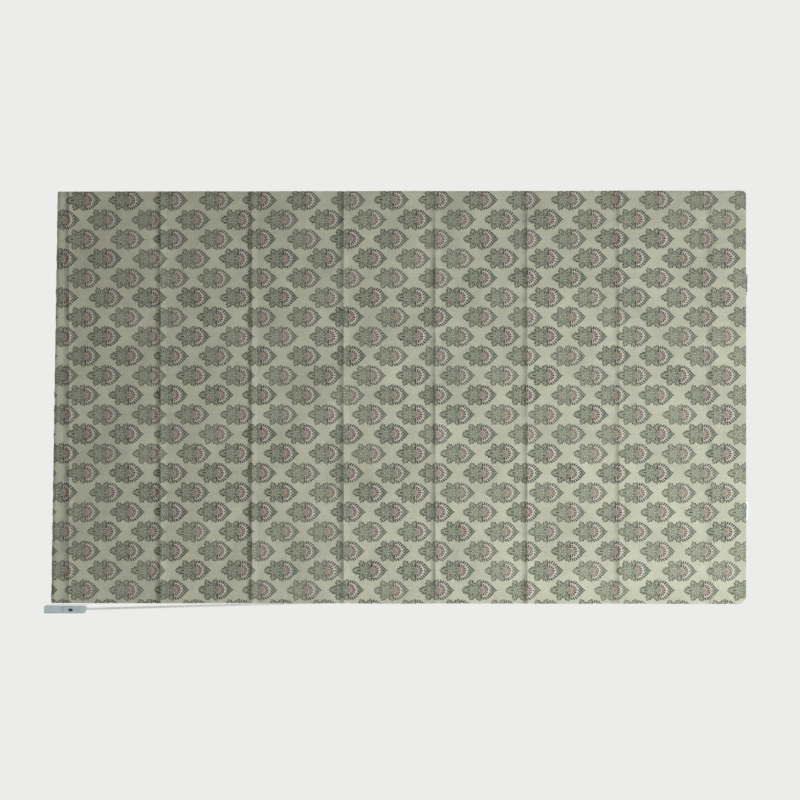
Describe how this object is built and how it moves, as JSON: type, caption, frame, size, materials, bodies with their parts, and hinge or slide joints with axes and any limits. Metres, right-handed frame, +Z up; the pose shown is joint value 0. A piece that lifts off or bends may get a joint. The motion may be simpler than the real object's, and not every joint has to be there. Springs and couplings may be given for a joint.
{
  "type": "roman shade",
  "caption": "Flat roman shade in printed cotton, raised in level folds by a bead chain, a shaft and cord spools in a headrail, with rods, a weighted hem and a chain holder.",
  "frame": {"origin": "middle of the four bracket screw holes, on the fixing plane that the brackets' top faces lie in", "axes": "+X to the right seen from the room, +Y away from the room towards the window, +Z up"},
  "size_m": [0.91, 0.0512, 1.5155],
  "materials": {
    "face_cloth": "block-printed slubby cotton",
    "white_tape": "woven hook and loop tape",
    "pocket_tape": "plain woven pocket tape",
    "lift_cord": "braided polyester cord",
    "rail_white": "white coated aluminium",
    "end_plastic": "white moulded plastic",
    "drive_plastic": "grey moulded plastic",
    "spring_steel": "bright spring wire",
    "shaft_steel": "drawn steel",
    "spool_plastic": "natural moulded plastic",
    "rod_glass_fibre": "drawn glass-fibre rod",
    "clear_plastic": "milky clear plastic",
    "bar_aluminium": "mill finish",
    "chain_plastic": "white moulded beads",
    "holder_plastic": "white moulded plastic",
    "bracket_zinc": "zinc-plated pressed steel"
  },
  "bodies": {
    "head": {"headrail": "rail_white", "end_cap": "end_plastic", "drive_housing": "end_plastic", "drive_cover": "end_plastic", "cover_screws": "shaft_steel", "spool_cradle_left": "spool_plastic", "spool_cradle_centre": "spool_plastic", "spool_cradle_right": "spool_plastic", "lift_cord_left": "lift_cord", "lift_cord_centre": "lift_cord", "lift_cord_right": "lift_cord", "hook_tape": "white_tape", "loop_tape": "white_tape", "face_fabric": "face_cloth", "bead_chain": "chain_plastic", "chain_holder_housing": "holder_plastic", "chain_holder_slider": "holder_plastic", "chain_holder_axle": "shaft_steel", "head_bracket_left": "bracket_zinc", "head_bracket_right": "bracket_zinc"},
    "rod_set_1": {"rod_1": "rod_glass_fibre", "rod_pocket_1": "pocket_tape", "rod_caps_1": "clear_plastic", "cord_rings_1": "clear_plastic"},
    "rod_set_2": {"rod_2": "rod_glass_fibre", "rod_pocket_2": "pocket_tape", "rod_caps_2": "clear_plastic", "cord_rings_2": "clear_plastic"},
    "rod_set_3": {"rod_3": "rod_glass_fibre", "rod_pocket_3": "pocket_tape", "rod_caps_3": "clear_plastic", "cord_rings_3": "clear_plastic"},
    "rod_set_4": {"rod_4": "rod_glass_fibre", "rod_pocket_4": "pocket_tape", "rod_caps_4": "clear_plastic", "cord_rings_4": "clear_plastic"},
    "rod_set_5": {"rod_5": "rod_glass_fibre", "rod_pocket_5": "pocket_tape", "rod_caps_5": "clear_plastic", "cord_rings_5": "clear_plastic"},
    "rod_set_6": {"rod_6": "rod_glass_fibre", "rod_pocket_6": "pocket_tape", "rod_caps_6": "clear_plastic", "cord_rings_6": "clear_plastic"},
    "hem_bar": {"bottom_bar": "bar_aluminium", "bottom_bar_caps": "clear_plastic", "cord_anchors": "clear_plastic", "cord_toggles": "clear_plastic"},
    "drive_train": {"chain_wheel": "drive_plastic", "clutch_collar": "drive_plastic", "end_bush": "drive_plastic", "clutch_spring": "spring_steel", "drive_shaft": "shaft_steel", "lift_spool_left": "spool_plastic", "lift_spool_centre": "spool_plastic", "lift_spool_right": "spool_plastic"},
    "holder_pulley": {"chain_holder_pulley": "drive_plastic"},
    "lever_left": {"bracket_lever_left": "bracket_zinc"},
    "lever_right": {"bracket_lever_right": "bracket_zinc"}
  },
  "joints": [
    {"name": "lift", "type": "slide", "parent": "head", "child": "rod_set_1", "axis": [0, 0, 1], "range_m": [0, 0.2242], "deforming": ["face_fabric", "bead_chain", "lift_cord_left", "lift_cord_centre", "lift_cord_right"]},
    {"name": "fold_2", "type": "slide", "parent": "rod_set_1", "child": "rod_set_2", "axis": [0, 0, 1], "range_m": [0, 0.18261]},
    {"name": "fold_3", "type": "slide", "parent": "rod_set_2", "child": "rod_set_3", "axis": [0, 0, 1], "range_m": [0, 0.18261]},
    {"name": "fold_4", "type": "slide", "parent": "rod_set_3", "child": "rod_set_4", "axis": [0, 0, 1], "range_m": [0, 0.18261]},
    {"name": "fold_5", "type": "slide", "parent": "rod_set_4", "child": "rod_set_5", "axis": [0, 0, 1], "range_m": [0, 0.18261]},
    {"name": "fold_6", "type": "slide", "parent": "rod_set_5", "child": "rod_set_6", "axis": [0, 0, 1], "range_m": [0, 0.18261]},
    {"name": "hem_rise", "type": "slide", "parent": "rod_set_6", "child": "hem_bar", "axis": [0, 0, 1], "range_m": [0, 0.16106]},
    {"name": "drive_turn", "type": "hinge", "parent": "head", "child": "drive_train", "pos_m": [0, 0.007, -0.0211], "axis": [-1, 0, 0], "range_deg": [0, 7591]},
    {"name": "pulley_turn", "type": "hinge", "parent": "head", "child": "holder_pulley", "pos_m": [0.4595, 0.01139, -1.44254], "axis": [-1, 0, 0], "range_deg": [0, 14664.4]},
    {"name": "lever_left_turn", "type": "hinge", "parent": "head", "child": "lever_left", "pos_m": [-0.2425, 0, 0], "axis": [0, 0, -1], "range_deg": [0, 90]},
    {"name": "lever_right_turn", "type": "hinge", "parent": "head", "child": "lever_right", "pos_m": [0.2425, 0, 0], "axis": [0, 0, 1], "range_deg": [0, 90]}
  ],
  "couplings": [
    {"joint": "fold_2", "follows": "lift", "ratio": 0.81443},
    {"joint": "fold_3", "follows": "lift", "ratio": 0.81443},
    {"joint": "fold_4", "follows": "lift", "ratio": 0.81443},
    {"joint": "fold_5", "follows": "lift", "ratio": 0.81443},
    {"joint": "fold_6", "follows": "lift", "ratio": 0.81443},
    {"joint": "hem_rise", "follows": "lift", "ratio": 0.71831},
    {"joint": "drive_turn", "follows": "lift", "rad_per_m": 590.86},
    {"joint": "pulley_turn", "follows": "lift", "rad_per_m": 1141.5}
  ]
}
